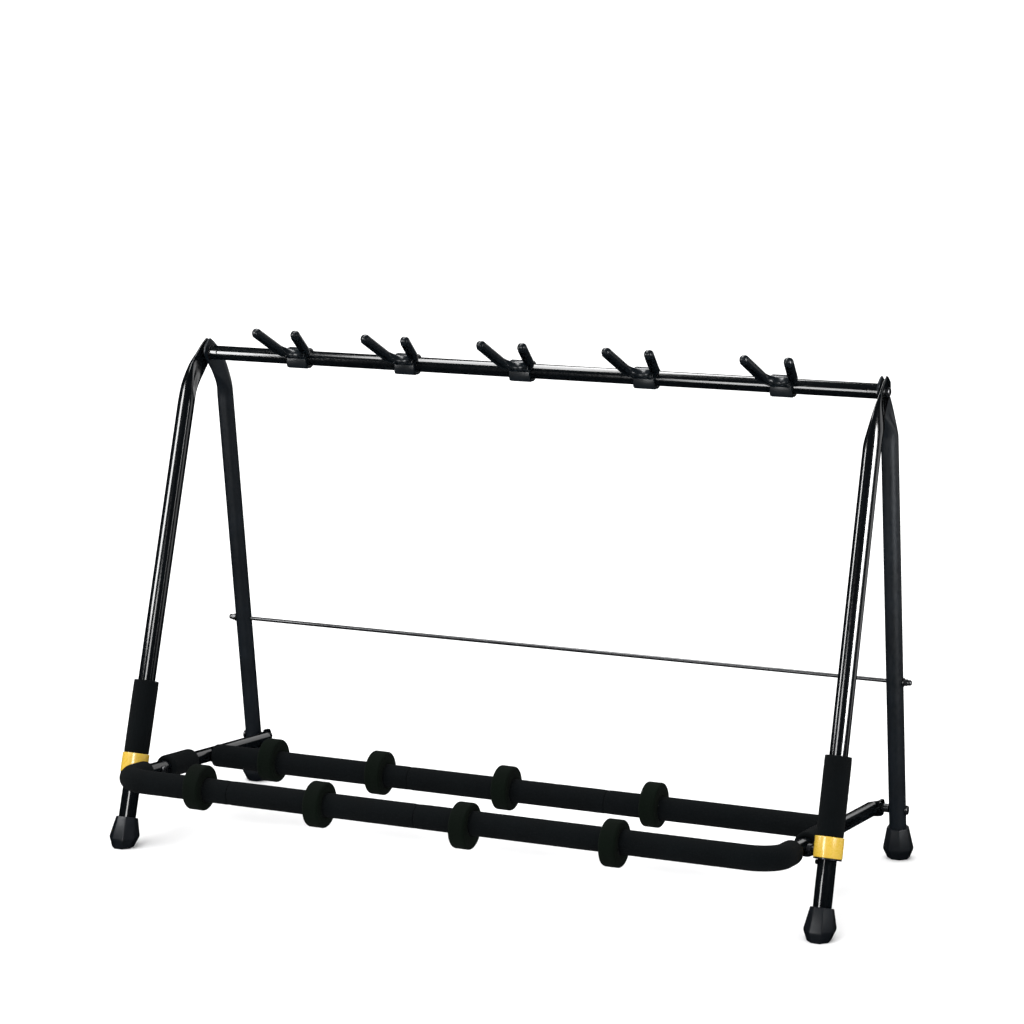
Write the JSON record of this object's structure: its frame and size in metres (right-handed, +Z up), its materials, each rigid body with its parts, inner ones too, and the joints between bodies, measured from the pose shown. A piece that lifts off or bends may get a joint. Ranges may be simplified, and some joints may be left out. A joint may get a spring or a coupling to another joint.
{
  "type": "guitar rack",
  "caption": "Folding floor rack for guitars: A-frame legs, top bar with neck yokes, foam-covered cradle with dividers, sliding grips that fold it flat.",
  "frame": {"origin": "on the floor, under the middle of the bounding box", "axes": "+X along the top bar, -Y the side instruments are loaded from, +Z up"},
  "size_m": [0.9942, 0.4664, 0.6739],
  "materials": {
    "black_enamel": "gloss",
    "foam_black": "matte",
    "divider_foam": "matte",
    "yoke_rubber": "satin",
    "collar_yellow": "gloss",
    "foot_rubber": "satin",
    "black_plastic": "satin",
    "dark_rod": "satin",
    "black_hardware": "satin"
  },
  "bodies": {
    "front_frame": {"front_leg_left": "black_enamel", "front_leg_right": "black_enamel", "front_foot_left": "foot_rubber", "front_foot_right": "foot_rubber", "bar_end_insert_left": "black_plastic", "bar_end_insert_right": "black_plastic", "top_pivot_bolt_left": "black_hardware", "top_pivot_bolt_right": "black_hardware", "top_pivot_washer_left": "black_hardware", "top_pivot_washer_right": "black_hardware", "stop_screw_left": "black_hardware", "stop_screw_right": "black_hardware", "top_bar": "black_enamel"},
    "rear_frame": {"rear_leg_left": "black_enamel", "rear_leg_right": "black_enamel", "rear_foot_left": "foot_rubber", "rear_foot_right": "foot_rubber", "rear_pivot_bolt_left": "black_hardware", "rear_pivot_bolt_right": "black_hardware", "tie_rod": "dark_rod", "tie_rod_nuts": "black_hardware", "rear_pivot_spacers": "black_hardware", "rear_pivot_nuts": "black_hardware"},
    "cradle": {"front_rail": "black_enamel", "rear_rail": "black_enamel", "front_foam_left": "foam_black", "front_foam_mid_left": "foam_black", "front_foam_mid_right": "foam_black", "front_foam_right": "foam_black", "rear_foam_left": "foam_black", "rear_foam_mid": "foam_black", "rear_foam_right": "foam_black", "strut_left": "black_enamel", "strut_right": "black_enamel", "arm_foam_left": "foam_black", "arm_foam_right": "foam_black", "arm_bolt_left": "black_hardware", "arm_bolt_right": "black_hardware", "arm_bolt_nut_left": "black_hardware", "arm_bolt_nut_right": "black_hardware"},
    "grip_left": {"slide_sleeve_left": "black_plastic", "grip_foam_left": "foam_black", "collar_left": "collar_yellow"},
    "grip_right": {"slide_sleeve_right": "black_plastic", "grip_foam_right": "foam_black", "collar_right": "collar_yellow"},
    "neck_yoke_1": {"neck_yoke_1": "yoke_rubber"},
    "neck_yoke_2": {"neck_yoke_2": "yoke_rubber"},
    "neck_yoke_3": {"neck_yoke_3": "yoke_rubber"},
    "neck_yoke_4": {"neck_yoke_4": "yoke_rubber"},
    "neck_yoke_5": {"neck_yoke_5": "yoke_rubber"},
    "divider_front_1": {"divider_front_1": "divider_foam"},
    "divider_front_2": {"divider_front_2": "divider_foam"},
    "divider_front_3": {"divider_front_3": "divider_foam"},
    "divider_front_4": {"divider_front_4": "divider_foam"},
    "divider_rear_1": {"divider_rear_1": "divider_foam"},
    "divider_rear_2": {"divider_rear_2": "divider_foam"},
    "divider_rear_3": {"divider_rear_3": "divider_foam"},
    "divider_rear_4": {"divider_rear_4": "divider_foam"}
  },
  "joints": [
    {"name": "legs_fold", "type": "hinge", "parent": "front_frame", "child": "rear_frame", "pos_m": [0, 0.09858, 0.628], "axis": [-1, 0, 0], "range_deg": [0, 26]},
    {"name": "cradle_fold", "type": "hinge", "parent": "rear_frame", "child": "cradle", "pos_m": [0, 0.20708, 0.067], "axis": [-1, 0, 0], "range_deg": [0, 64.71]},
    {"name": "grip_left_lift", "type": "slide", "parent": "front_frame", "child": "grip_left", "axis": [0, 0.3115, 0.9502], "range_m": [0, 0.311]},
    {"name": "grip_right_lift", "type": "slide", "parent": "front_frame", "child": "grip_right", "axis": [0, 0.3115, 0.9502], "range_m": [0, 0.311]},
    {"name": "neck_yoke_1_slide", "type": "slide", "parent": "front_frame", "child": "neck_yoke_1", "axis": [1, 0, 0], "range_m": [-0.04, 0.04]},
    {"name": "neck_yoke_2_slide", "type": "slide", "parent": "front_frame", "child": "neck_yoke_2", "axis": [1, 0, 0], "range_m": [-0.04, 0.04]},
    {"name": "neck_yoke_3_slide", "type": "slide", "parent": "front_frame", "child": "neck_yoke_3", "axis": [1, 0, 0], "range_m": [-0.04, 0.04]},
    {"name": "neck_yoke_4_slide", "type": "slide", "parent": "front_frame", "child": "neck_yoke_4", "axis": [1, 0, 0], "range_m": [-0.04, 0.04]},
    {"name": "neck_yoke_5_slide", "type": "slide", "parent": "front_frame", "child": "neck_yoke_5", "axis": [1, 0, 0], "range_m": [-0.04, 0.04]},
    {"name": "divider_front_1_slide", "type": "slide", "parent": "cradle", "child": "divider_front_1", "axis": [1, 0, 0], "range_m": [-0.035, 0.035]},
    {"name": "divider_front_2_slide", "type": "slide", "parent": "cradle", "child": "divider_front_2", "axis": [1, 0, 0], "range_m": [-0.035, 0.035]},
    {"name": "divider_front_3_slide", "type": "slide", "parent": "cradle", "child": "divider_front_3", "axis": [1, 0, 0], "range_m": [-0.035, 0.035]},
    {"name": "divider_front_4_slide", "type": "slide", "parent": "cradle", "child": "divider_front_4", "axis": [1, 0, 0], "range_m": [-0.035, 0.035]},
    {"name": "divider_rear_1_slide", "type": "slide", "parent": "cradle", "child": "divider_rear_1", "axis": [1, 0, 0], "range_m": [-0.035, 0.035]},
    {"name": "divider_rear_2_slide", "type": "slide", "parent": "cradle", "child": "divider_rear_2", "axis": [1, 0, 0], "range_m": [-0.035, 0.035]},
    {"name": "divider_rear_3_slide", "type": "slide", "parent": "cradle", "child": "divider_rear_3", "axis": [1, 0, 0], "range_m": [-0.035, 0.035]},
    {"name": "divider_rear_4_slide", "type": "slide", "parent": "cradle", "child": "divider_rear_4", "axis": [1, 0, 0], "range_m": [-0.035, 0.035]}
  ],
  "couplings": [
    {"joint": "cradle_fold", "follows": "legs_fold", "ratio": 2.4696},
    {"joint": "grip_left_lift", "follows": "legs_fold", "m_per_rad": 0.68103},
    {"joint": "grip_right_lift", "follows": "legs_fold", "m_per_rad": 0.68103}
  ]
}
